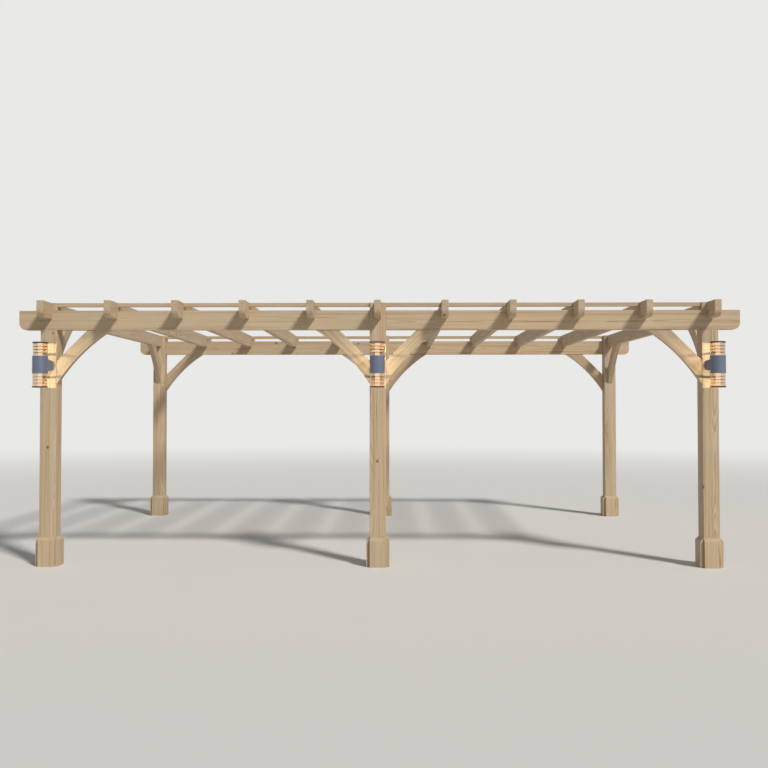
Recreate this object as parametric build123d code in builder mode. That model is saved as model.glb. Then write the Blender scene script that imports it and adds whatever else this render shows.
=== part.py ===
from build123d import *
import os

# A two-bay timber pergola: six posts, a beam along each side, eleven rafters across,
# curved braces, boarded post feet and three wall lamps on the front posts.
# Millimetres, Z up. The long side runs along X and the front faces -Y.
# The origin is on the ground in the middle of the overall box.

# posts
post_size = 150
post_pitch = 3050
row_spacing = 4000
arris = 3

# beams
beam_thickness = 75
beam_depth = 180
beam_underside = 2180
beam_tail = 200
beam_nose = 65

# rafters
rafter_width = 60
rafter_depth = 150
rafter_stand = 72
rafter_overhang = 225
rafter_nose = 68
rafter_spaces_per_bay = 5

# battens let into the rafters' tops, over the beams
batten_width = 38
batten_height = 36

# curved braces
brace_thickness = 60
brace_inner_leg = 282
brace_outer_leg = 500
brace_hollow = 40

# boards round the post feet
foot_board = 30
foot_height = 270
foot_bevel = 29
foot_arris_gap = 1

# wall lamps
lamp_radius = 68
lamp_axis_reach = 200
lamp_drop = 125
lamp_height = 412
lamp_cap = 12
lamp_shade_height = 160
lamp_shade_wall = 3
lamp_bracket_width = 96
lamp_bracket_height = 120
lamp_bracket_root = 80
lamp_glass_wall = 3
lamp_tube_radius = 20
lamp_disc = 2
lamp_discs_per_window = 3

# clearance between pieces that fit together
seat_gap = 0.3

# derived levels and positions
beam_top = beam_underside + beam_depth
rafter_top = beam_top + rafter_stand
rafter_underside = rafter_top - rafter_depth
lamp_reach = lamp_axis_reach + lamp_radius
lamp_bottom = beam_underside - lamp_drop - lamp_height
lamp_window = (lamp_height - lamp_shade_height) / 2 - lamp_cap
lamp_shade_bottom = lamp_bottom + lamp_cap + lamp_window
lamp_glass_radius = lamp_radius - lamp_shade_wall - seat_gap
mid_y = (lamp_reach - rafter_overhang) / 2
row_face = row_spacing / 2 + post_size / 2
rafter_pitch = post_pitch / rafter_spaces_per_bay
beam_end = post_pitch + post_size / 2 + beam_tail
columns = {"left": -post_pitch, "centre": 0, "right": post_pitch}
rows = {"front": -1, "back": 1}
halves = {"left": -1, "right": 1}
folder = "parts"


def save(builder, label):
    builder.part.label = label
    export_step(builder.part, f"{folder}/{label}.step")


def outer_face(row):
    return mid_y + row * row_face


def slab_start(row, thickness, inset=0):
    """The higher Y of a piece of that thickness set in from a row's outer face."""
    near = outer_face(row) - row * inset
    far = near - row * thickness
    return max(near, far)


def make_post(label, x, row, corner):
    y = mid_y + row * row_spacing / 2
    with BuildPart() as post:
        with BuildSketch(Plane.XY):
            with Locations((x, y)):
                Rectangle(post_size, post_size)
        extrude(amount=rafter_top)
        chamfer(post.edges().filter_by(Axis.Z), arris)
        with BuildSketch(Plane.XY.offset(rafter_underside - seat_gap)):
            with Locations((x, y)):
                Rectangle(rafter_width + 2 * seat_gap, post_size)
        extrude(amount=rafter_depth + seat_gap, mode=Mode.SUBTRACT)
        if corner:
            housing = beam_thickness + seat_gap
            with BuildSketch(Plane.XY.offset(beam_underside - seat_gap)):
                with Locations((x, outer_face(row) - row * housing / 2)):
                    Rectangle(post_size, housing)
            extrude(amount=beam_depth + 2 * seat_gap, mode=Mode.SUBTRACT)
    save(post, label)


def make_foot(label, x, row):
    y = mid_y + row * row_spacing / 2
    board_width = post_size - 2 * foot_arris_gap
    face = post_size / 2 + seat_gap
    with BuildPart() as foot:
        with Locations((x, y)):
            with PolarLocations(face, 4):
                with Locations((foot_board / 2, 0)):
                    Box(foot_board, board_width, foot_height, align=(Align.CENTER, Align.CENTER, Align.MIN))
        tops = foot.edges().group_by(Axis.Z)[-1]
        reach = post_size / 2 + foot_board
        outer = [e for e in tops if max(abs(e.center().X - x), abs(e.center().Y - y)) > reach]
        chamfer(outer, foot_bevel)
    save(foot, label)


def make_beam(label, row, half):
    inner = post_size / 2 + seat_gap
    length = beam_end - inner
    with BuildPart() as beam:
        with BuildSketch(Plane.XZ.offset(-slab_start(row, beam_thickness))) as side:
            with Locations((half * (inner + length / 2), beam_underside + beam_depth / 2)):
                Rectangle(length, beam_depth)
            ends = side.vertices().sort_by(Axis.Z)[:2]
            fillet(ends.sort_by(Axis.X)[0 if half < 0 else -1], beam_nose)
        extrude(amount=beam_thickness)
    save(beam, label)


def make_rafter(label, x, over_beams, with_battens):
    length = row_spacing + post_size + 2 * rafter_overhang
    with BuildPart() as rafter:
        with BuildSketch(Plane.YZ.offset(x - rafter_width / 2)) as side:
            with Locations((mid_y, rafter_top - rafter_depth / 2)):
                Rectangle(length, rafter_depth)
            fillet(side.vertices().sort_by(Axis.Z)[:2], rafter_nose)
            for row in rows.values():
                seat_y = outer_face(row) - row * beam_thickness / 2
                if over_beams:
                    seat_height = beam_top - rafter_underside + seat_gap
                    with Locations((seat_y, rafter_underside + seat_height / 2)):
                        Rectangle(beam_thickness + 2 * seat_gap, seat_height, mode=Mode.SUBTRACT)
                if with_battens:
                    notch = batten_height + seat_gap
                    with Locations((seat_y, rafter_top - notch / 2)):
                        Rectangle(batten_width + 2 * seat_gap, notch, mode=Mode.SUBTRACT)
        extrude(amount=rafter_width)
    save(rafter, label)


def make_battens(label, row):
    """The two battens of a row, from post to post."""
    length = post_pitch - post_size - 2 * seat_gap
    seat_y = outer_face(row) - row * beam_thickness / 2
    with BuildPart() as battens:
        with BuildSketch(Plane.XY.offset(rafter_top - batten_height)):
            with Locations((-post_pitch / 2, seat_y), (post_pitch / 2, seat_y)):
                Rectangle(length, batten_width)
        extrude(amount=batten_height)
    save(battens, label)


def make_brace(label, plane, corner_u, corner_v, way):
    """A brace in the corner under a timber, reaching that way from the post's face."""
    middle = brace_outer_leg / 2 - brace_hollow / 2 ** 0.5
    u = corner_u + way * seat_gap
    v = corner_v - seat_gap
    top_end = (u + way * brace_outer_leg, v)
    hollow_middle = (u + way * middle, v - middle)
    post_end = (u, v - brace_outer_leg)
    with BuildPart() as brace:
        with BuildSketch(plane):
            with BuildLine():
                Line((u + way * brace_inner_leg, v), top_end)
                ThreePointArc(top_end, hollow_middle, post_end)
                Line(post_end, (u, v - brace_inner_leg))
                Line((u, v - brace_inner_leg), (u + way * brace_inner_leg, v))
            make_face()
        extrude(amount=brace_thickness)
    save(brace, label)


def make_beam_brace(label, post_x, row, way):
    inset = (beam_thickness - brace_thickness) / 2
    plane = Plane.XZ.offset(-slab_start(row, brace_thickness, inset))
    make_brace(label, plane, post_x + way * post_size / 2, beam_underside, way)


def make_rafter_brace(label, post_x, row):
    inner_face = outer_face(row) - row * post_size
    plane = Plane.YZ.offset(post_x - brace_thickness / 2)
    make_brace(label, plane, inner_face, rafter_underside, -row)


def lamp_centres():
    """Where the lamps' upright axes stand, in front of the front posts."""
    axis = outer_face(rows["front"]) - lamp_axis_reach
    return [(x, axis) for x in columns.values()]


def make_lamp_shades(label):
    """The three shades, each on a bracket that narrows to the post."""
    face = outer_face(rows["front"]) - seat_gap
    middle = lamp_bottom + lamp_height / 2
    near = lamp_bracket_height / 2
    far = lamp_bracket_root / 2
    with BuildPart() as shades:
        for x, axis in lamp_centres():
            with BuildSketch(Plane.YZ.offset(x - lamp_bracket_width / 2)):
                with BuildLine():
                    Line((axis, middle - near), (axis, middle + near))
                    Line((axis, middle + near), (face, middle + far))
                    Line((face, middle + far), (face, middle - far))
                    Line((face, middle - far), (axis, middle - near))
                make_face()
            extrude(amount=lamp_bracket_width)
        for radius, mode in ((lamp_radius, Mode.ADD), (lamp_radius - lamp_shade_wall, Mode.SUBTRACT)):
            with BuildSketch(Plane.XY.offset(lamp_shade_bottom)):
                with Locations(lamp_centres()):
                    Circle(radius)
            extrude(amount=lamp_shade_height, mode=mode)
    save(shades, label)


def make_lamp_caps(label):
    """The round caps over and under the three lamps."""
    with BuildPart() as caps:
        for level in (lamp_bottom, lamp_bottom + lamp_height - lamp_cap):
            with BuildSketch(Plane.XY.offset(level)):
                with Locations(lamp_centres()):
                    Circle(lamp_radius)
            extrude(amount=lamp_cap)
    save(caps, label)


def make_lamp_glass(label):
    """The three glass sleeves, and in each the light tube with its stack of discs."""
    bottom = lamp_bottom + lamp_cap + seat_gap
    clear = lamp_height - 2 * (lamp_cap + seat_gap)
    inner_radius = lamp_glass_radius - lamp_glass_wall
    step = lamp_window / (lamp_discs_per_window + 1)
    with BuildPart() as glass:
        with BuildSketch(Plane.XY.offset(bottom)):
            with Locations(lamp_centres()):
                Circle(lamp_glass_radius)
                Circle(inner_radius, mode=Mode.SUBTRACT)
                Circle(lamp_tube_radius)
        extrude(amount=clear)
        for window_bottom in (lamp_bottom + lamp_cap, lamp_shade_bottom + lamp_shade_height):
            for n in range(lamp_discs_per_window):
                with BuildSketch(Plane.XY.offset(window_bottom + (n + 1) * step - lamp_disc / 2)):
                    with Locations(lamp_centres()):
                        Circle(inner_radius - seat_gap)
                extrude(amount=lamp_disc)
    save(glass, label)


os.makedirs(folder, exist_ok=True)

for row_name, row in rows.items():
    for column_name, x in columns.items():
        place = f"{row_name}_{column_name}"
        make_post(f"post_{place}", x, row, x != 0)
        make_foot(f"foot_boards_{place}", x, row)
        make_rafter_brace(f"rafter_brace_{place}", x, row)
    make_battens(f"battens_{row_name}", row)
    for half_name, half in halves.items():
        place = f"{row_name}_{half_name}"
        make_beam(f"beam_{place}", row, half)
        make_beam_brace(f"beam_brace_{place}_outer", half * post_pitch, row, -half)
        make_beam_brace(f"beam_brace_{place}_inner", 0, row, half)

rafter_count = 2 * rafter_spaces_per_bay + 1
for n in range(rafter_count):
    x = (n - rafter_spaces_per_bay) * rafter_pitch
    at_post = n % rafter_spaces_per_bay == 0
    make_rafter(f"rafter_{n + 1:02d}", x, n != rafter_spaces_per_bay, not at_post)

make_lamp_shades("lamp_shades")
make_lamp_caps("lamp_caps")
make_lamp_glass("lamp_glass")
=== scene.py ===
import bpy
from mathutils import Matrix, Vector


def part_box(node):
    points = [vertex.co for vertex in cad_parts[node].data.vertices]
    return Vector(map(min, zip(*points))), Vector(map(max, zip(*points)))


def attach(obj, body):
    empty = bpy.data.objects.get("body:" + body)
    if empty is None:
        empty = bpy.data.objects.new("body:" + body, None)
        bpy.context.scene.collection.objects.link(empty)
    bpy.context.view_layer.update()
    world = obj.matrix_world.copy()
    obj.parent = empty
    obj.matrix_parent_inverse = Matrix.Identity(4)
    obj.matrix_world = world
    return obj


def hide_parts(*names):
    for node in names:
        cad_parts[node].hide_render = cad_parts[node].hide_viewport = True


bl_info = {
    "name": "Two-Bay Timber Pergola",
    "version": (1, 0, 0),
    "blender": (4, 5, 0),
    "location": "View3D > Sidebar > Pergola",
    "description": "Dresses a timber pergola with planed wood, wall lamps and a plain studio",
    "category": "Object",
}

import math
import random

import bmesh
import bpy
from mathutils import Vector

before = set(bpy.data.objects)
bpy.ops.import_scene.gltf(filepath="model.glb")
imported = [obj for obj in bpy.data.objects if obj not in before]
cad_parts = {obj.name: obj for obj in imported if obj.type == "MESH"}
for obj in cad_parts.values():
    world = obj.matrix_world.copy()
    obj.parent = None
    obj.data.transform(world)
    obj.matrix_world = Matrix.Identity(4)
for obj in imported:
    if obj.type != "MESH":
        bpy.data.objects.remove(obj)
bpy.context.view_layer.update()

AXES = (Vector((1, 0, 0)), Vector((0, 1, 0)), Vector((0, 0, 1)))

# metres: the clearance between pieces that fit together, the distance within which two points
# are one, and the distance within which a point lies at a given place
SEAT_GAP = 0.0003
WELD = 1e-5
AT_PLACE = 1e-4

# faces within the first angle of each other are one flat, an edge under the second is shaded
# smooth, and one over the third is eased in this many steps
FLAT_ANGLE = math.radians(0.5)
SMOOTH_ANGLE = math.radians(20)
SHARP_ANGLE = math.radians(35)
EASE_STEPS = 2

# steps round the lamps' shades, caps and discs and round their tubes, and cuts across a bracket
ROUND_STEPS = 64
TUBE_STEPS = 40
BRACKET_CUTS = 15

# how near and how far from a board's middle the pith of its log lies, in metres
POST_PITH = (0.12, 0.16)
FOOT_PITH = (0.05, 0.11)
BEAM_PITH = (0.03, 0.10)
RAFTER_PITH = (0.02, 0.09)
BATTEN_PITH = (0.03, 0.08)
BRACE_PITH = (0.03, 0.09)
# how far it lies along the board's width, as a share of the farther distance
PITH_ASIDE = (0.055, 0.55)
# length of grain, in metres, along which the boards are cut at random
LOG_LENGTH = 40

# knots to a metre across and along a board, and how much longer than wide a knot shows
KNOTS_ACROSS = 7.0
KNOTS_ALONG = 1.9
KNOT_STRETCH = 1.25
# metres: how far round a knot the wood shows it, how far a knot pushes the growth rings aside,
# and how far the rings wobble
KNOT_REACH = 0.040
RING_BEND = 0.013
RING_WOBBLE = 0.014

# how often to a metre each kind of mark changes, in X and Y across the grain and in Z along it
WOBBLES = (11, 11, 0.9)
STREAKS = (60, 60, 0.8)
HEARTWOOD = (9, 9, 0.45)
FIBRES = (1300, 1300, 24)
FLECKS = (520, 520, 30)
# the colour that darkens a knot's rim
BARK_COLOUR = (0.02, 0.01, 0.005)

# steps round the floor, the width of the camera's sensor in millimetres and how far it sees
FLOOR_STEPS = 96
SENSOR_WIDTH = 36
VIEW_DEPTH = 200


def nodes_named(start):
    """The frame's nodes whose names begin with these words, in order."""
    return sorted(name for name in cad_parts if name.startswith(start))


def from_screen(red, green, blue):
    """A colour written as it shows on a screen, 0 to 255, as Blender's linear values."""
    parts = [value / 255 for value in (red, green, blue)]
    return tuple(p / 12.92 if p <= 0.04045 else ((p + 0.055) / 1.055) ** 2.4 for p in parts)


# Settings


class PERGOLA_PG_timber(bpy.types.PropertyGroup):
    pale_colour: bpy.props.FloatVectorProperty(
        name="Early wood", description="Colour of the pale part of each growth ring",
        subtype="COLOR", min=0, max=1, default=from_screen(197, 178, 149))
    band_colour: bpy.props.FloatVectorProperty(
        name="Late wood", description="Colour of the darker part of each growth ring",
        subtype="COLOR", min=0, max=1, default=from_screen(153, 124, 91))
    heart_colour: bpy.props.FloatVectorProperty(
        name="Heartwood", description="Colour that warms some boards and streaks",
        subtype="COLOR", min=0, max=1, default=from_screen(180, 148, 117))
    knot_colour: bpy.props.FloatVectorProperty(
        name="Knots", description="Colour of the knots",
        subtype="COLOR", min=0, max=1, default=from_screen(112, 72, 45))
    ring_width: bpy.props.FloatProperty(
        name="Ring width", description="Distance between two growth rings",
        subtype="DISTANCE", unit="LENGTH", min=0.001, max=0.02, default=0.0054)
    ring_wander: bpy.props.FloatProperty(
        name="Ring wander", description="How far the middle of the rings wanders along a board",
        subtype="DISTANCE", unit="LENGTH", min=0, max=0.2, default=0.070)
    knot_radius: bpy.props.FloatProperty(
        name="Knot radius", description="Radius of the smallest knots",
        subtype="DISTANCE", unit="LENGTH", min=0.001, max=0.02, default=0.005)
    knot_range: bpy.props.FloatProperty(
        name="Knot range", description="How much larger the largest knots are",
        subtype="DISTANCE", unit="LENGTH", min=0, max=0.03, default=0.010)
    heart_strength: bpy.props.FloatProperty(
        name="Heartwood strength", description="How strongly the heartwood's colour shows",
        subtype="FACTOR", min=0, max=1, default=0.42)
    streak_strength: bpy.props.FloatProperty(
        name="Streak strength", description="How strongly the dark streaks along the grain show",
        subtype="FACTOR", min=0, max=1, default=0.42)
    tone_spread: bpy.props.FloatProperty(
        name="Tone spread", description="How much the boards differ in tone",
        subtype="FACTOR", min=0, max=1, default=0.30)
    roughness: bpy.props.FloatProperty(
        name="Roughness", description="Roughness of the planed surface",
        subtype="FACTOR", min=0, max=1, default=0.60)
    relief: bpy.props.FloatProperty(
        name="Relief", description="Depth of the grain's relief",
        subtype="DISTANCE", unit="LENGTH", min=0, max=0.003, default=0.0006)
    eased_edge: bpy.props.FloatProperty(
        name="Eased edge", description="How far the sharp edges of a board are rounded",
        subtype="DISTANCE", unit="LENGTH", min=0.0005, max=0.006, default=0.0025)
    beam_nose: bpy.props.FloatProperty(
        name="Beam nose", description="Radius at the lower end of a beam's tail",
        subtype="DISTANCE", unit="LENGTH", min=0.01, max=0.15, default=0.065)
    rafter_nose: bpy.props.FloatProperty(
        name="Rafter nose", description="Radius at the lower end of a rafter's tail",
        subtype="DISTANCE", unit="LENGTH", min=0.01, max=0.12, default=0.068)
    nose_steps: bpy.props.IntProperty(
        name="Nose steps", description="Flats that make up each rounded tail",
        min=4, max=32, default=14)


class PERGOLA_PG_lamps(bpy.types.PropertyGroup):
    shade_colour: bpy.props.FloatVectorProperty(
        name="Shade", description="Colour of the painted shade and its bracket",
        subtype="COLOR", min=0, max=1, default=from_screen(106, 116, 136))
    cap_colour: bpy.props.FloatVectorProperty(
        name="Caps", description="Colour of the painted caps",
        subtype="COLOR", min=0, max=1, default=from_screen(66, 63, 65))
    glass_colour: bpy.props.FloatVectorProperty(
        name="Glass", description="Tint of the clear sleeve",
        subtype="COLOR", min=0, max=1, default=from_screen(241, 226, 206))
    glow_colour: bpy.props.FloatVectorProperty(
        name="Glow", description="Colour of the light tube",
        subtype="COLOR", min=0, max=1, default=from_screen(255, 231, 205))
    light_colour: bpy.props.FloatVectorProperty(
        name="Light", description="Colour of the light that the lamp throws",
        subtype="COLOR", min=0, max=1, default=from_screen(255, 236, 203))
    disc_colour: bpy.props.FloatVectorProperty(
        name="Discs", description="Colour of the discs round the tube",
        subtype="COLOR", min=0, max=1, default=from_screen(34, 24, 15))
    glow_strength: bpy.props.FloatProperty(
        name="Glow strength", description="Brightness of the light tube's own surface",
        min=0, max=20, default=1.02)
    light_power: bpy.props.FloatProperty(
        name="Light power", description="Light that each window throws on the wood round it",
        subtype="POWER", unit="POWER", min=0, max=50, default=2.3)
    source_radius: bpy.props.FloatProperty(
        name="Source radius", description="Radius of the point that throws that light",
        subtype="DISTANCE", unit="LENGTH", min=0.0005, max=0.02, default=0.0015)
    source_rise: bpy.props.FloatProperty(
        name="Source rise",
        description="How far that point stands off its window's middle, away from the shade",
        subtype="DISTANCE", unit="LENGTH", min=0, max=0.02, default=0.010)
    louvre_hole: bpy.props.FloatProperty(
        name="Louvre hole",
        description="Radius inside which a window's middle disc lets light through",
        subtype="DISTANCE", unit="LENGTH", min=0.03, max=0.06, default=0.043)
    shade_wall: bpy.props.FloatProperty(
        name="Shade wall", description="Thickness of the shade's sheet metal",
        subtype="DISTANCE", unit="LENGTH", min=0.001, max=0.01, default=0.003)
    shade_height: bpy.props.FloatProperty(
        name="Shade height", description="Height of the shade between the two windows",
        subtype="DISTANCE", unit="LENGTH", min=0.05, max=0.3, default=0.16)
    shade_edge: bpy.props.FloatProperty(
        name="Shade edge", description="How far the shade's edges are rounded",
        subtype="DISTANCE", unit="LENGTH", min=0.0001, max=0.0014, default=0.0008)
    cap_thickness: bpy.props.FloatProperty(
        name="Cap thickness", description="Thickness of the round caps over and under the lamp",
        subtype="DISTANCE", unit="LENGTH", min=0.003, max=0.03, default=0.012)
    cap_edge: bpy.props.FloatProperty(
        name="Cap edge", description="How far the caps' edges are rounded",
        subtype="DISTANCE", unit="LENGTH", min=0.0001, max=0.0014, default=0.0012)
    bracket_width: bpy.props.FloatProperty(
        name="Bracket width", description="Width of the bracket between shade and post",
        subtype="DISTANCE", unit="LENGTH", min=0.02, max=0.12, default=0.096)
    bracket_height: bpy.props.FloatProperty(
        name="Bracket height", description="Height of the bracket's lines over the lamp's axis",
        subtype="DISTANCE", unit="LENGTH", min=0.04, max=0.15, default=0.12)
    bracket_root: bpy.props.FloatProperty(
        name="Bracket root", description="Height of the bracket against the post",
        subtype="DISTANCE", unit="LENGTH", min=0.02, max=0.15, default=0.08)
    bracket_edge: bpy.props.FloatProperty(
        name="Bracket edge", description="How far the bracket's edges are rounded",
        subtype="DISTANCE", unit="LENGTH", min=0.0001, max=0.003, default=0.0015)
    bracket_lap: bpy.props.FloatProperty(
        name="Bracket lap", description="How far the bracket reaches into the shade's wall",
        subtype="DISTANCE", unit="LENGTH", min=0, max=0.002, default=0.001)
    sleeve_wall: bpy.props.FloatProperty(
        name="Sleeve wall", description="Thickness of the glass sleeve",
        subtype="DISTANCE", unit="LENGTH", min=0.001, max=0.01, default=0.003)
    tube_radius: bpy.props.FloatProperty(
        name="Tube radius", description="Radius of the light tube",
        subtype="DISTANCE", unit="LENGTH", min=0.005, max=0.04, default=0.02)
    disc_thickness: bpy.props.FloatProperty(
        name="Disc thickness", description="Thickness of each disc on the tube",
        subtype="DISTANCE", unit="LENGTH", min=0.0005, max=0.01, default=0.002)
    disc_count: bpy.props.IntProperty(
        name="Disc count", description="Discs that show in each window",
        min=0, max=8, default=3)


class PERGOLA_PG_stage(bpy.types.PropertyGroup):
    floor_colour: bpy.props.FloatVectorProperty(
        name="Floor", description="Colour of the plain floor",
        subtype="COLOR", min=0, max=1, default=from_screen(224, 223, 220))
    floor_radius: bpy.props.FloatProperty(
        name="Floor radius", description="Radius of the round floor",
        subtype="DISTANCE", unit="LENGTH", min=10, max=150, default=60)
    fade_start: bpy.props.FloatProperty(
        name="Fade start", description="How far out the floor begins to fade into the backdrop",
        subtype="DISTANCE", unit="LENGTH", min=5, max=50, default=7)
    fade_end: bpy.props.FloatProperty(
        name="Fade end", description="How far out the floor has the backdrop's colour",
        subtype="DISTANCE", unit="LENGTH", min=6, max=100, default=26)
    backdrop_colour: bpy.props.FloatVectorProperty(
        name="Backdrop", description="Colour behind the object",
        subtype="COLOR", min=0, max=1, default=from_screen(233, 233, 232))
    key_strength: bpy.props.FloatProperty(
        name="Key light", description="Strength of the light from the front right",
        min=0, max=10, default=2.82)
    key_colour: bpy.props.FloatVectorProperty(
        name="Key colour", description="Colour of the light from the front right",
        subtype="COLOR", min=0, max=1, default=(1.0, 0.965, 0.92))
    key_turn: bpy.props.FloatProperty(
        name="Key turn", description="How far the key light stands to the right of the front",
        subtype="ANGLE", unit="ROTATION", default=math.radians(38))
    key_height: bpy.props.FloatProperty(
        name="Key height", description="How high the key light stands",
        subtype="ANGLE", unit="ROTATION", default=math.radians(42))
    key_softness: bpy.props.FloatProperty(
        name="Key softness", description="How wide the key light looks from the object",
        subtype="ANGLE", unit="ROTATION", default=math.radians(8))
    room_strength: bpy.props.FloatProperty(
        name="Room light", description="Strength of the even light from all sides",
        min=0, max=4, default=0.22)
    room_colour: bpy.props.FloatVectorProperty(
        name="Room colour", description="Colour of the even light from all sides",
        subtype="COLOR", min=0, max=1, default=(0.94, 0.97, 1.0))
    camera_place: bpy.props.FloatVectorProperty(
        name="Camera", description="Where the camera stands",
        subtype="TRANSLATION", unit="LENGTH", default=(0.1706, -10.601, 1.472))
    camera_turn: bpy.props.FloatProperty(
        name="Camera turn", description="How far the camera turns to the left of straight on",
        subtype="ANGLE", unit="ROTATION", default=math.radians(0.763))
    camera_rise: bpy.props.FloatProperty(
        name="Camera rise", description="How far the camera looks up",
        subtype="ANGLE", unit="ROTATION", default=math.radians(1.39))
    lens: bpy.props.FloatProperty(
        name="Lens", description="Focal length on a 36 mm sensor",
        subtype="DISTANCE_CAMERA", unit="CAMERA", min=10, max=200, default=43.5375)


# Materials


class Value:
    """A node's output that takes part in Python sums, each of which adds a Math node."""

    def __init__(self, nodes, socket):
        self.nodes = nodes
        self.socket = socket

    def math(self, operation, *others):
        inputs = dict(enumerate((self, *others)))
        return self.nodes.node("ShaderNodeMath", {"operation": operation}, inputs)

    def beside(self, output):
        """Another output of the same node."""
        return Value(self.nodes, self.socket.node.outputs[output])

    def __add__(self, other):
        return self.math("ADD", other)

    __radd__ = __add__

    def __sub__(self, other):
        return self.math("SUBTRACT", other)

    def __rsub__(self, other):
        return (-self).math("ADD", other)

    def __mul__(self, other):
        return self.math("MULTIPLY", other)

    __rmul__ = __mul__

    def __truediv__(self, other):
        return self.math("DIVIDE", other)

    def __neg__(self):
        return self.math("MULTIPLY", -1.0)

    def __pow__(self, other):
        return self.math("POWER", other)

    def __abs__(self):
        return self.math("ABSOLUTE")

    def floor(self):
        return self.math("FLOOR")

    def fraction(self):
        return self.math("FRACT")

    def most(self, other):
        return self.math("MAXIMUM", other)

    def rise(self, low, high):
        """0 below low, 1 above high and a smooth rise between them."""
        settings = {"interpolation_type": "SMOOTHSTEP", "clamp": True}
        inputs = {"Value": self, "From Min": low, "From Max": high}
        return self.nodes.node("ShaderNodeMapRange", settings, inputs)


class Nodes:
    """A material's or world's node tree, made from Python expressions."""

    def __init__(self, owner):
        owner.use_nodes = True
        self.tree = owner.node_tree

    def node(self, kind, settings=None, inputs=None, output=0):
        made = self.tree.nodes.new(kind)
        for key, value in (settings or {}).items():
            setattr(made, key, value)
        for key, value in (inputs or {}).items():
            self.put(made.inputs[key], value)
        return Value(self, made.outputs[output])

    def put(self, socket, value):
        if isinstance(value, Value):
            self.tree.links.new(value.socket, socket)
        elif socket.type == "RGBA" and len(value) == 3:
            socket.default_value = (*value, 1.0)
        else:
            socket.default_value = value

    def show(self, output, factor, under, over):
        """Makes a mix of two shaders what the tree's output node shows."""
        mixed = self.node("ShaderNodeMixShader", None, {0: factor, 1: under, 2: over})
        self.put(self.tree.nodes[output].inputs["Surface"], mixed)


class Finish(Nodes):
    """A material's node tree round its Principled shader."""

    def __init__(self, name):
        self.material = bpy.data.materials.new(name)
        super().__init__(self.material)
        self.shader = self.tree.nodes["Principled BSDF"]

    def set(self, **sockets):
        """Sets the Principled shader's sockets: base_color= is its Base Color."""
        for key, value in sockets.items():
            socket = key.replace("_", " ").title().replace("Ior", "IOR")
            self.put(self.shader.inputs[socket], value)

    def attribute(self, name):
        return self.node("ShaderNodeAttribute", {"attribute_name": name}, output="Vector")

    def object_place(self):
        return self.node("ShaderNodeTexCoord", output="Object")

    def split(self, vector):
        parts = self.node("ShaderNodeSeparateXYZ", None, {0: vector})
        return [parts.beside(n) for n in range(3)]

    def join(self, x=0.0, y=0.0, z=0.0):
        return self.node("ShaderNodeCombineXYZ", None, {0: x, 1: y, 2: z})

    def vector_math(self, operation, *vectors, output=0):
        inputs = dict(enumerate(vectors))
        return self.node("ShaderNodeVectorMath", {"operation": operation}, inputs, output)

    def noise(self, vector, scale=1.0, detail=2.0):
        inputs = {"Vector": vector, "Scale": scale, "Detail": detail}
        return self.node("ShaderNodeTexNoise", None, inputs, "Fac")

    def marks(self, grain, often, detail, start=(0.0, 0.0, 0.0)):
        """Noise that changes so often to a metre along each axis of the grain."""
        place = self.vector_math("MULTIPLY_ADD", grain, often, start)
        return self.noise(place, detail=detail)

    def mix(self, factor, under, over):
        """A colour between two colours."""
        settings = {"data_type": "RGBA", "clamp_factor": True}
        return self.node("ShaderNodeMix", settings, {0: factor, 6: under, 7: over}, 2)

    def lighten(self, colour, value):
        """A colour made lighter, or darker where the value is under 1."""
        return self.node("ShaderNodeHueSaturation", None, {"Color": colour, "Value": value})

    def bump(self, height, distance, strength):
        inputs = {"Height": height, "Distance": distance, "Strength": strength}
        self.set(normal=self.node("ShaderNodeBump", None, inputs))


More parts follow.
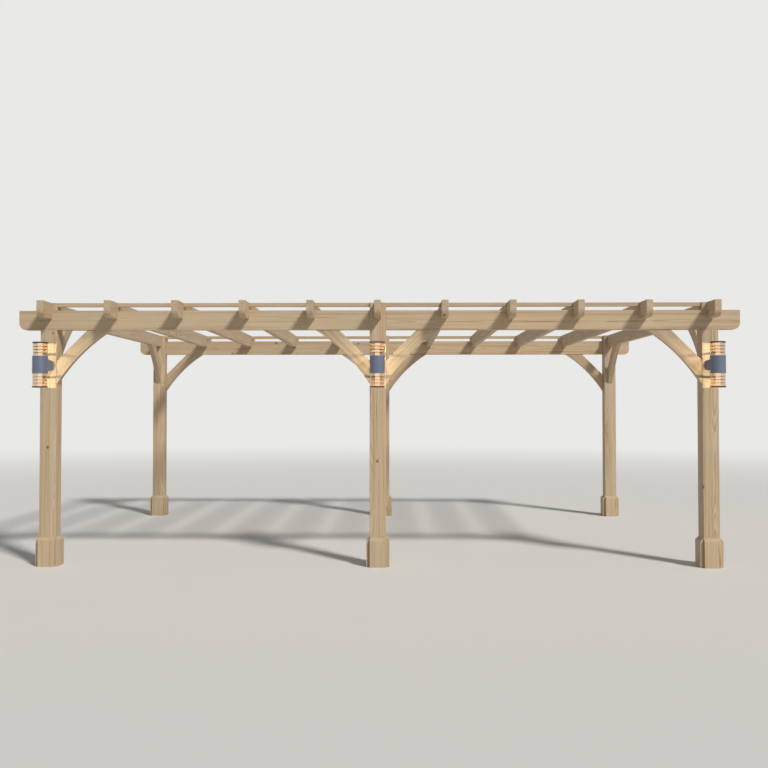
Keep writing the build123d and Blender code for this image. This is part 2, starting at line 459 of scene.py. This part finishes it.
def timber_finish(wood):
    """Planed softwood. It reads where a point lies in its own board, with Z along the grain."""
    f = Finish("planed_timber")
    grain = f.attribute("grain")
    x, y, z = f.split(grain)
    tone, warmth, seed = f.split(f.attribute("board"))

    # knots are small round spots where a branch left the trunk, one at most to each cell
    cells = (KNOTS_ACROSS, KNOTS_ACROSS, KNOTS_ALONG)
    spread = f.vector_math("MULTIPLY", grain, cells)
    settings = {"feature": "F1", "voronoi_dimensions": "3D"}
    inputs = {"Vector": spread, "Scale": 1.0, "Randomness": 0.85}
    cell = f.node("ShaderNodeTexVoronoi", settings, inputs)
    away = f.vector_math("SUBTRACT", spread, cell.beside("Position"))
    per_metre = (KNOTS_ACROSS, KNOTS_ACROSS, KNOTS_ALONG * KNOT_STRETCH)
    away = f.vector_math("DIVIDE", away, per_metre)
    from_knot = f.vector_math("LENGTH", away, output="Value")
    pick, size, _ = f.split(cell.beside("Color"))
    knot_radius = wood.knot_radius + wood.knot_range * size
    is_knot = pick.rise(0.30, 0.34)
    near_knot = is_knot * (1 - from_knot.rise(0.0, KNOT_REACH))
    in_knot = is_knot * (1 - (from_knot / knot_radius).rise(0.86, 1.06))
    knot_edge = is_knot * (1 - abs(from_knot / knot_radius - 1.0).rise(0.05, 0.34))

    # growth rings lie round a pith that wanders along the board
    wander_x = (f.noise(f.join(z * 0.7, seed, 1.3)) - 0.5) * wood.ring_wander
    wander_y = (f.noise(f.join(z * 0.6, 7.7, seed)) - 0.5) * wood.ring_wander
    across = f.join(x + wander_x, y + wander_y, 0.0)
    from_pith = f.vector_math("LENGTH", across, output="Value")
    wobble = (f.marks(grain, WOBBLES, 3) - 0.5) * RING_WOBBLE
    ring_place = from_pith + wobble + near_knot * near_knot * RING_BEND
    ring_count = ring_place / wood.ring_width
    ring_part = ring_count.fraction()
    late = ring_part.rise(0.30, 0.90) * (1 - ring_part.rise(0.93, 1.0))
    year_seed = {"W": ring_count.floor() + seed * 50}
    year = f.node("ShaderNodeTexWhiteNoise", {"noise_dimensions": "1D"}, year_seed)
    years = f.noise(f.join(ring_place * 42, seed, 0.0), detail=2)

    # streaks, fibres and resin run along the grain
    streak = f.marks(grain, STREAKS, 3)
    heart = f.marks(grain, HEARTWOOD, 2, f.join(z=seed))
    fibre = f.marks(grain, FIBRES, 2)
    fleck = f.marks(grain, FLECKS, 1).rise(0.66, 0.74)

    # the numbers that follow say how strongly each mark shows
    late_strength = late * (0.20 + 0.42 * year) * (0.55 + 0.9 * years.rise(0.35, 0.65))
    streaks = wood.streak_strength * streak.rise(0.45, 0.72)
    shade = late_strength + streaks + wood.tone_spread * (tone - 0.5)
    warm = wood.heart_strength * heart.rise(0.42, 0.68) * (0.35 + 0.65 * warmth)
    colour = f.mix(shade, wood.pale_colour, wood.band_colour)
    colour = f.mix(warm, colour, wood.heart_colour)
    colour = f.mix(0.16 * fleck, colour, wood.knot_colour)
    colour = f.mix(0.30 * near_knot * near_knot, colour, wood.heart_colour)
    colour = f.mix(0.72 * in_knot, colour, wood.knot_colour)
    bark = f.mix(0.5, wood.knot_colour, BARK_COLOUR)
    colour = f.mix(0.55 * knot_edge, colour, bark)
    light = 0.90 + 0.20 * fibre + 0.16 * (tone - 0.5) + 0.08 * (streak - 0.5)

    f.set(base_color=f.lighten(colour, light))
    f.set(roughness=wood.roughness + 0.14 * fibre - 0.12 * late_strength - 0.15 * in_knot)
    f.set(specular_ior_level=0.35)
    height = fibre * 0.5 + late_strength * 0.9 - fleck * 0.5 + knot_edge * -0.8
    f.bump(height, wood.relief, 0.45)
    return f.material


def paint_finish(name, paint):
    """Powder coat, faintly grained."""
    f = Finish(name)
    place = f.object_place()
    grain = f.noise(place, 1500, 2)
    cloud = f.noise(place, 14, 3)
    f.set(base_color=f.lighten(paint, 0.90 + 0.12 * cloud + 0.08 * grain))
    f.set(roughness=0.36 + 0.14 * cloud + 0.06 * grain, metallic=0.25)
    f.bump(grain, 0.0002, 0.35)
    return f.material


def glass_finish(lamps):
    """Clear glass with a warm tint."""
    f = Finish("clear_sleeve")
    smear = f.noise(f.object_place(), 60, 3)
    f.set(base_color=lamps.glass_colour, roughness=0.02 + 0.05 * smear)
    f.set(transmission_weight=1.0, ior=1.45)
    return f.material


def glow_finish(lamps):
    """Frosted tube that shines, a little unevenly."""
    f = Finish("warm_light")
    frost = f.noise(f.object_place(), 420, 2)
    f.set(base_color=lamps.disc_colour, roughness=0.42 + 0.1 * frost)
    f.set(emission_color=f.lighten(lamps.glow_colour, 0.92 + 0.16 * frost))
    f.set(emission_strength=lamps.glow_strength)
    return f.material


def disc_finish(lamps):
    """Tinted discs that stay dark beside the tube."""
    f = Finish("bronze_discs")
    frost = f.noise(f.object_place(), 600, 2)
    f.set(base_color=f.lighten(lamps.disc_colour, 0.85 + 0.3 * frost))
    f.set(roughness=0.5 + 0.15 * frost)
    return f.material


def finish_for(kind):
    """The scene's one material of that kind, made the first time that it is asked for."""
    wood = bpy.context.scene.pergola_timber
    lamps = bpy.context.scene.pergola_lamps
    makers = {
        "planed_timber": lambda: timber_finish(wood),
        "slate_paint": lambda: paint_finish(kind, lamps.shade_colour),
        "dark_paint": lambda: paint_finish(kind, lamps.cap_colour),
        "clear_sleeve": lambda: glass_finish(lamps),
        "warm_light": lambda: glow_finish(lamps),
        "bronze_discs": lambda: disc_finish(lamps),
    }
    return bpy.data.materials.get(kind) or makers[kind]()


# Shapes


def welded_copy(node):
    """A copy of a frame node's mesh with its points welded and its flat faces whole."""
    mesh = bmesh.new()
    mesh.from_mesh(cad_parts[node].data)
    bmesh.ops.remove_doubles(mesh, verts=mesh.verts, dist=WELD)
    bmesh.ops.dissolve_limit(mesh, angle_limit=FLAT_ANGLE, verts=mesh.verts, edges=mesh.edges)
    return mesh


def box_mesh(low, high):
    """A box from its lowest to its highest corner."""
    mesh = bmesh.new()
    bmesh.ops.create_cube(mesh, size=1)
    bmesh.ops.scale(mesh, vec=high - low, verts=mesh.verts)
    bmesh.ops.translate(mesh, vec=(low + high) / 2, verts=mesh.verts)
    return mesh


def slab_mesh(outline, step):
    """A flat outline of points made solid by one step sideways."""
    mesh = bmesh.new()
    face = mesh.faces.new([mesh.verts.new(point) for point in outline])
    grown = bmesh.ops.extrude_face_region(mesh, geom=[face])["geom"]
    moved = [part for part in grown if isinstance(part, bmesh.types.BMVert)]
    bmesh.ops.translate(mesh, vec=step, verts=moved)
    bmesh.ops.recalc_face_normals(mesh, faces=mesh.faces)
    return mesh


def bevel(mesh, edges, width, segments):
    """Rounds these edges in so many flats."""
    bmesh.ops.bevel(
        mesh, geom=edges, offset=width, offset_type="OFFSET", affect="EDGES",
        segments=segments, profile=0.5, material=-1, clamp_overlap=True)


def edges_at(mesh, **place):
    """The edges whose both ends lie at that x, y or z, in metres."""
    def lies(vert):
        return all(abs(getattr(vert.co, axis) - value) < AT_PLACE for axis, value in place.items())

    return [edge for edge in mesh.edges if all(lies(vert) for vert in edge.verts)]


def ease_edges(mesh, width):
    """Rounds every sharp outer edge a little."""
    sharp = [
        edge for edge in mesh.edges
        if edge.is_manifold and edge.is_convex and edge.calc_face_angle() > SHARP_ANGLE]
    bevel(mesh, sharp, width, EASE_STEPS)
    bmesh.ops.remove_doubles(mesh, verts=mesh.verts, dist=WELD)
    bmesh.ops.recalc_face_normals(mesh, faces=mesh.faces)


def join_mesh(mesh, other):
    """Adds another mesh's faces to a mesh."""
    data = bpy.data.meshes.new("joined")
    other.to_mesh(data)
    other.free()
    mesh.from_mesh(data)
    bpy.data.meshes.remove(data)


def boards_of(mesh):
    """The points of each separate board of a mesh, in order of the boards' middles."""
    def middle(board):
        total = sum((vert.co for vert in board), Vector())
        return tuple(round(value, 4) for value in total / len(board))

    left = set(mesh.verts)
    boards = []
    while left:
        board, reach = set(), [left.pop()]
        while reach:
            vert = reach.pop()
            board.add(vert)
            near = {edge.other_vert(vert) for edge in vert.link_edges} & left
            left -= near
            reach.extend(near)
        boards.append(board)
    return sorted(boards, key=middle)


def lay_grain(mesh, name, along, pith):
    """Stores, for each board, where its points lie in the log that it was sawn from."""
    grain = mesh.verts.layers.float_vector.new("grain")
    character = mesh.verts.layers.float_vector.new("board")
    chance = random.Random(name)
    length = along.normalized()
    for board in boards_of(mesh):
        low, high = ([end(vert.co[n] for vert in board) for n in range(3)] for end in (min, max))
        middle = Vector([(low[n] + high[n]) / 2 for n in range(3)])
        across = [n for n in range(3) if not length[n]]
        thin = AXES[min(across, key=lambda n: high[n] - low[n])]
        wide = length.cross(thin)
        sides = [chance.choice((-1, 1)) for _ in range(3)]
        near, far = pith
        pith_thin = sides[0] * chance.uniform(near, far)
        pith_wide = sides[1] * chance.uniform(*PITH_ASIDE) * far
        slide = chance.uniform(0, LOG_LENGTH)
        traits = Vector((chance.random(), chance.random(), chance.random()))
        for vert in board:
            place = vert.co - middle
            vert[grain] = Vector((
                place.dot(thin) + pith_thin,
                place.dot(wide) + pith_wide,
                sides[2] * place.dot(length) + slide))
            vert[character] = traits


def add_piece(name, mesh, finish, slot, *nodes):
    """Makes a piece of the object out of a mesh, in place of these frame nodes."""
    data = bpy.data.meshes.new(name)
    mesh.to_mesh(data)
    mesh.free()
    data.shade_smooth()
    data.set_sharp_from_angle(angle=SMOOTH_ANGLE)
    data.materials.append(finish_for(finish))
    piece = bpy.data.objects.new(name, data)
    bpy.context.scene.collection.objects.link(piece)
    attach(piece, "root")
    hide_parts(*nodes)
    return piece


def add_timber(node, mesh, along, pith):
    """Eases a board's edges, lays its grain and adds it in place of its frame node."""
    ease_edges(mesh, bpy.context.scene.pergola_timber.eased_edge)
    lay_grain(mesh, node, along, pith)
    return add_piece(f"{node}_timber", mesh, "planed_timber", "timber", node)


# Operators


class PERGOLA_OT_posts(bpy.types.Operator):
    """Adds the six posts, forked for the rafters and housed for the beams"""

    bl_idname = "pergola.posts"
    bl_label = "Posts"

    def execute(self, context):
        for node in nodes_named("post_"):
            add_timber(node, welded_copy(node), AXES[2], POST_PITH)
        return {"FINISHED"}


class PERGOLA_OT_foot_boards(bpy.types.Operator):
    """Adds the four bevelled boards round each post foot"""

    bl_idname = "pergola.foot_boards"
    bl_label = "Foot boards"

    def execute(self, context):
        for node in nodes_named("foot_boards_"):
            add_timber(node, welded_copy(node), AXES[2], FOOT_PITH)
        return {"FINISHED"}


class PERGOLA_OT_beams(bpy.types.Operator):
    """Adds the four beams, each with a rounded tail past its corner post"""

    bl_idname = "pergola.beams"
    bl_label = "Beams"

    def execute(self, context):
        wood = context.scene.pergola_timber
        for node in nodes_named("beam_front") + nodes_named("beam_back"):
            low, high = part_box(node)
            mesh = box_mesh(low, high)
            tail = low.x if abs(low.x) > abs(high.x) else high.x
            bevel(mesh, edges_at(mesh, x=tail, z=low.z), wood.beam_nose, wood.nose_steps)
            add_timber(node, mesh, AXES[0], BEAM_PITH)
        return {"FINISHED"}


def notch(box, x, edge, seat):
    """The corners of a notch round a timber, from a rafter's lower or upper edge to its seat."""
    near, far = box[0].y - SEAT_GAP, box[1].y + SEAT_GAP
    return [Vector((x, y, z)) for y, z in ((near, edge), (near, seat), (far, seat), (far, edge))]


class PERGOLA_OT_rafters(bpy.types.Operator):
    """Adds the rafters, notched over the beams and under the battens"""

    bl_idname = "pergola.rafters"
    bl_label = "Rafters"

    def execute(self, context):
        wood = context.scene.pergola_timber
        posts = {node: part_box(node) for node in nodes_named("post_front")}
        beams = [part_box("beam_front_left"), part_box("beam_back_left")]
        battens = [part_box("battens_front"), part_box("battens_back")]
        for node in nodes_named("rafter_0") + nodes_named("rafter_1"):
            low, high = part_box(node)
            middle = (low.x + high.x) / 2
            carried_by = [post for post, box in posts.items() if box[0].x < middle < box[1].x]
            lower = [Vector((low.x, low.y, low.z))]
            if "post_front_centre" not in carried_by:
                for beam in beams:
                    lower += notch(beam, low.x, low.z, beam[1].z + SEAT_GAP)
            lower.append(Vector((low.x, high.y, low.z)))
            upper = [Vector((low.x, low.y, high.z))]
            if not carried_by:
                for batten in battens:
                    upper += notch(batten, low.x, high.z, batten[0].z - SEAT_GAP)
            upper.append(Vector((low.x, high.y, high.z)))
            mesh = slab_mesh(lower + upper[::-1], (high.x - low.x, 0, 0))
            tails = edges_at(mesh, y=low.y, z=low.z) + edges_at(mesh, y=high.y, z=low.z)
            bevel(mesh, tails, wood.rafter_nose, wood.nose_steps)
            add_timber(node, mesh, AXES[1], RAFTER_PITH)
        return {"FINISHED"}


class PERGOLA_OT_battens(bpy.types.Operator):
    """Adds the battens let into the rafters' tops"""

    bl_idname = "pergola.battens"
    bl_label = "Battens"

    def execute(self, context):
        for node in nodes_named("battens_"):
            add_timber(node, welded_copy(node), AXES[0], BATTEN_PITH)
        return {"FINISHED"}


class PERGOLA_OT_braces(bpy.types.Operator):
    """Adds the curved braces under the beams and under the post rafters"""

    bl_idname = "pergola.braces"
    bl_label = "Braces"

    def execute(self, context):
        for node in nodes_named("beam_brace_") + nodes_named("rafter_brace_"):
            low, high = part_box(node)
            middle = (low + high) / 2
            if node.startswith("beam_brace"):
                outer = node.endswith("outer")
                way = -1 if (middle.x > 0) == outer else 1
                along = Vector((way, 0, 1))
            else:
                along = Vector((0, 1 if middle.y < 0 else -1, 1))
            add_timber(node, welded_copy(node), along, BRACE_PITH)
        return {"FINISHED"}


def lamp_places():
    """The name and upright axis of each lamp, in front of its post."""
    low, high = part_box("lamp_caps")
    places = []
    for node in nodes_named("post_front"):
        post_low, post_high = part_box(node)
        side = node.rsplit("_", 1)[1]
        centre = Vector(((post_low.x + post_high.x) / 2, (low.y + high.y) / 2, 0))
        places.append((side, centre))
    return places


def turn(mesh, outline, centre, steps=ROUND_STEPS):
    """Turns an outline, given as radius and height, once round an upright axis."""
    before = set(mesh.verts)
    verts = [mesh.verts.new(centre + Vector((radius, 0, height))) for radius, height in outline]
    hollow = outline[0][0] > WELD
    ends = verts + verts[:1] if hollow else verts
    edges = [mesh.edges.new(pair) for pair in zip(ends, ends[1:])]
    bmesh.ops.spin(
        mesh, geom=verts + edges, cent=centre, axis=(0, 0, 1), angle=math.tau,
        steps=steps, use_merge=True)
    made = [vert for vert in mesh.verts if vert not in before]
    bmesh.ops.remove_doubles(mesh, verts=made, dist=WELD)
    faces = [face for face in mesh.faces if not set(face.verts) & before]
    bmesh.ops.recalc_face_normals(mesh, faces=faces)


def bracket_mesh(lamps, centre, wall, face, middle):
    """A bracket that follows the shade's wall at its front and narrows to the post."""
    half = Vector((lamps.bracket_width / 2, 0, lamps.bracket_height / 2))
    back = Vector((centre.x, face, middle))
    mesh = box_mesh(Vector((centre.x, centre.y, middle)) - half, back + half)
    rungs = [edge for edge in mesh.edges if abs(edge.verts[0].co.x - edge.verts[1].co.x) > half.x]
    bmesh.ops.subdivide_edges(mesh, edges=rungs, cuts=BRACKET_CUTS, use_grid_fill=True)
    for vert in mesh.verts:
        if vert.co.y < face - AT_PLACE:
            vert.co.y = centre.y + math.sqrt(wall ** 2 - (vert.co.x - centre.x) ** 2)
        share = (vert.co.y - centre.y) / (face - centre.y)
        height = lamps.bracket_height + (lamps.bracket_root - lamps.bracket_height) * share
        vert.co.z = middle + math.copysign(height / 2, vert.co.z - middle)
    ease_edges(mesh, lamps.bracket_edge)
    return mesh


class PERGOLA_OT_lamp_shades(bpy.types.Operator):
    """Adds the painted shades of the wall lamps, each on its bracket"""

    bl_idname = "pergola.lamp_shades"
    bl_label = "Lamp shades"

    def execute(self, context):
        lamps = context.scene.pergola_lamps
        cap_low, cap_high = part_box("lamp_caps")
        low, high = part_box("lamp_shades")
        outer = (cap_high.y - cap_low.y) / 2
        inner = outer - lamps.shade_wall
        for side, centre in lamp_places():
            mesh = bmesh.new()
            turn(mesh, [(inner, low.z), (outer, low.z), (outer, high.z), (inner, high.z)], centre)
            ease_edges(mesh, lamps.shade_edge)
            wall = inner + lamps.bracket_lap
            join_mesh(mesh, bracket_mesh(lamps, centre, wall, high.y, (low.z + high.z) / 2))
            add_piece(f"lamp_shade_{side}", mesh, "slate_paint", "lamp_metal", "lamp_shades")
        return {"FINISHED"}


class PERGOLA_OT_lamp_caps(bpy.types.Operator):
    """Adds the round caps over and under each wall lamp"""

    bl_idname = "pergola.lamp_caps"
    bl_label = "Lamp caps"

    def execute(self, context):
        lamps = context.scene.pergola_lamps
        low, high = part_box("lamp_caps")
        radius = (high.y - low.y) / 2
        for side, centre in lamp_places():
            mesh = bmesh.new()
            for under in (low.z, high.z - lamps.cap_thickness):
                over = under + lamps.cap_thickness
                turn(mesh, [(0, under), (radius, under), (radius, over), (0, over)], centre)
            ease_edges(mesh, lamps.cap_edge)
            add_piece(f"lamp_caps_{side}", mesh, "dark_paint", "lamp_metal", "lamp_caps")
        return {"FINISHED"}


class PERGOLA_OT_lamp_glass(bpy.types.Operator):
    """Adds the glass sleeves, and in them the light tubes with their discs"""

    bl_idname = "pergola.lamp_glass"
    bl_label = "Lamp glass"

    def execute(self, context):
        lamps = context.scene.pergola_lamps
        low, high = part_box("lamp_caps")
        outer = (high.y - low.y) / 2 - lamps.shade_wall - SEAT_GAP
        inner = outer - lamps.sleeve_wall
        bottom = low.z + lamps.cap_thickness + SEAT_GAP
        top = high.z - lamps.cap_thickness - SEAT_GAP
        window = (high.z - low.z - lamps.shade_height) / 2 - lamps.cap_thickness
        windows = (low.z + lamps.cap_thickness, high.z - lamps.cap_thickness - window)
        for side, centre in lamp_places():
            sleeve, tube = bmesh.new(), bmesh.new()
            turn(sleeve, [(inner, bottom), (outer, bottom), (outer, top), (inner, top)], centre)
            radius = lamps.tube_radius
            outline = [(0, bottom), (radius, bottom), (radius, top), (0, top)]
            turn(tube, outline, centre, TUBE_STEPS)
            louvres, discs = self.disc_meshes(lamps, centre, windows, window, inner - SEAT_GAP)
            for name, mesh, finish, shadow in (
                    ("sleeve", sleeve, "clear_sleeve", False),
                    ("tube", tube, "warm_light", False),
                    ("louvres", louvres, "bronze_discs", True),
                    ("discs", discs, "bronze_discs", False)):
                piece = add_piece(f"lamp_{name}_{side}", mesh, finish, "lamp_glass", "lamp_glass")
                piece.visible_shadow = shadow
            for start, way in zip(windows, (-1, 1)):
                level = start + window / 2 + way * lamps.source_rise
                self.add_glow(context, side, centre + Vector((0, 0, level)))
        return {"FINISHED"}

    def disc_meshes(self, lamps, centre, windows, window, rim):
        """The discs' parts that shade the wood and those that let the light by.

        In each window the disc farthest from the shade shades as a whole, the middle one
        outside its hole, and the one nearest the shade not at all.
        """
        louvres, discs = bmesh.new(), bmesh.new()
        count = lamps.disc_count
        for start, nearest in zip(windows, (count, 1)):
            for n in range(1, count + 1):
                under = start + n * window / (count + 1) - lamps.disc_thickness / 2
                over = under + lamps.disc_thickness
                clear = lamps.louvre_hole if n == (count + 1) // 2 else lamps.tube_radius
                if n == nearest:
                    clear = rim
                for mesh, near, far in ((discs, lamps.tube_radius, clear), (louvres, clear, rim)):
                    if far > near:
                        outline = [(near, under), (far, under), (far, over), (near, over)]
                        turn(mesh, outline, centre)
        return louvres, discs

    def add_glow(self, context, side, place):
        """A point of light in a window, which shines on the wood and isn't seen in the glass."""
        lamps = context.scene.pergola_lamps
        light = bpy.data.lights.new(f"lamp_glow_{side}", "POINT")
        light.energy = lamps.light_power
        light.color = lamps.light_colour
        light.shadow_soft_size = lamps.source_radius
        holder = bpy.data.objects.new(f"lamp_glow_{side}", light)
        holder.location = place
        holder.visible_glossy = False
        holder.visible_transmission = False
        context.scene.collection.objects.link(holder)


class PERGOLA_OT_stage(bpy.types.Operator):
    """Adds the floor, the studio light and the camera"""

    bl_idname = "pergola.stage"
    bl_label = "Stage"

    def execute(self, context):
        stage = context.scene.pergola_stage
        self.add_camera(context, stage)
        self.add_light(context, stage)
        self.add_floor(context, stage)
        context.scene.view_settings.view_transform = "Standard"
        return {"FINISHED"}

    def add_camera(self, context, stage):
        camera = bpy.data.cameras.new("camera")
        camera.sensor_width = SENSOR_WIDTH
        camera.lens = stage.lens
        camera.clip_end = VIEW_DEPTH
        holder = bpy.data.objects.new("camera", camera)
        holder.location = stage.camera_place
        holder.rotation_euler = (math.pi / 2 + stage.camera_rise, 0, stage.camera_turn)
        context.scene.collection.objects.link(holder)
        context.scene.camera = holder

    def add_light(self, context, stage):
        """The key light, and a world that lights evenly but shows as the backdrop."""
        key = bpy.data.lights.new("key", "SUN")
        key.energy = stage.key_strength
        key.angle = stage.key_softness
        key.color = stage.key_colour
        holder = bpy.data.objects.new("key", key)
        holder.rotation_euler = (math.pi / 2 - stage.key_height, 0, stage.key_turn)
        context.scene.collection.objects.link(holder)

        world = bpy.data.worlds.new("studio")
        w = Nodes(world)
        w.tree.nodes.remove(w.tree.nodes["Background"])
        seen = w.node("ShaderNodeLightPath", output="Is Camera Ray")
        mirrored = seen.beside("Is Glossy Ray")
        through = seen.beside("Is Transmission Ray")
        room = {"Color": stage.room_colour, "Strength": stage.room_strength}
        lit = w.node("ShaderNodeBackground", None, room)
        shown = w.node("ShaderNodeBackground", None, {"Color": stage.backdrop_colour})
        w.show("World Output", seen.most(mirrored).most(through), lit, shown)
        context.scene.world = world

    def add_floor(self, context, stage):
        """A round floor that fades into the backdrop with distance."""
        mesh = bmesh.new()
        radius = stage.floor_radius
        bmesh.ops.create_circle(mesh, cap_ends=True, segments=FLOOR_STEPS, radius=radius)
        data = bpy.data.meshes.new("floor")
        mesh.to_mesh(data)
        mesh.free()
        f = Finish("plain_floor")
        f.set(base_color=stage.floor_colour, roughness=0.85, specular_ior_level=0.1)
        x, y, _ = f.split(f.object_place())
        away = (x * x + y * y) ** 0.5
        floor = Value(f, f.shader.outputs[0])
        backdrop = f.node("ShaderNodeEmission", None, {"Color": stage.backdrop_colour})
        f.show("Material Output", away.rise(stage.fade_start, stage.fade_end), floor, backdrop)
        data.materials.append(f.material)
        holder = bpy.data.objects.new("floor", data)
        context.scene.collection.objects.link(holder)


class PERGOLA_PT_panel(bpy.types.Panel):
    """Lists the pergola's settings and its steps"""

    bl_label = "Timber Pergola"
    bl_space_type = "VIEW_3D"
    bl_region_type = "UI"
    bl_category = "Pergola"

    def draw(self, context):
        for name in ("pergola_timber", "pergola_lamps", "pergola_stage"):
            settings = getattr(context.scene, name)
            box = self.layout.box()
            for key in settings.bl_rna.properties.keys():
                if key not in ("rna_type", "name"):
                    box.prop(settings, key)
        for step in STEPS:
            self.layout.operator(step.bl_idname)


STEPS = (
    PERGOLA_OT_stage,
    PERGOLA_OT_posts,
    PERGOLA_OT_foot_boards,
    PERGOLA_OT_beams,
    PERGOLA_OT_rafters,
    PERGOLA_OT_battens,
    PERGOLA_OT_braces,
    PERGOLA_OT_lamp_shades,
    PERGOLA_OT_lamp_caps,
    PERGOLA_OT_lamp_glass,
)
GROUPS = {
    "pergola_timber": PERGOLA_PG_timber,
    "pergola_lamps": PERGOLA_PG_lamps,
    "pergola_stage": PERGOLA_PG_stage,
}


def register():
    for name, group in GROUPS.items():
        bpy.utils.register_class(group)
        setattr(bpy.types.Scene, name, bpy.props.PointerProperty(type=group))
    for kind in (*STEPS, PERGOLA_PT_panel):
        bpy.utils.register_class(kind)


def unregister():
    for kind in (PERGOLA_PT_panel, *reversed(STEPS)):
        bpy.utils.unregister_class(kind)
    for name, group in GROUPS.items():
        delattr(bpy.types.Scene, name)
        bpy.utils.unregister_class(group)


def main():
    """Registers the add-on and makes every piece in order."""
    register()
    bpy.ops.pergola.stage()
    bpy.ops.pergola.posts()
    bpy.ops.pergola.foot_boards()
    bpy.ops.pergola.beams()
    bpy.ops.pergola.rafters()
    bpy.ops.pergola.battens()
    bpy.ops.pergola.braces()
    bpy.ops.pergola.lamp_shades()
    bpy.ops.pergola.lamp_caps()
    bpy.ops.pergola.lamp_glass()


if __name__ == "__main__":
    main()
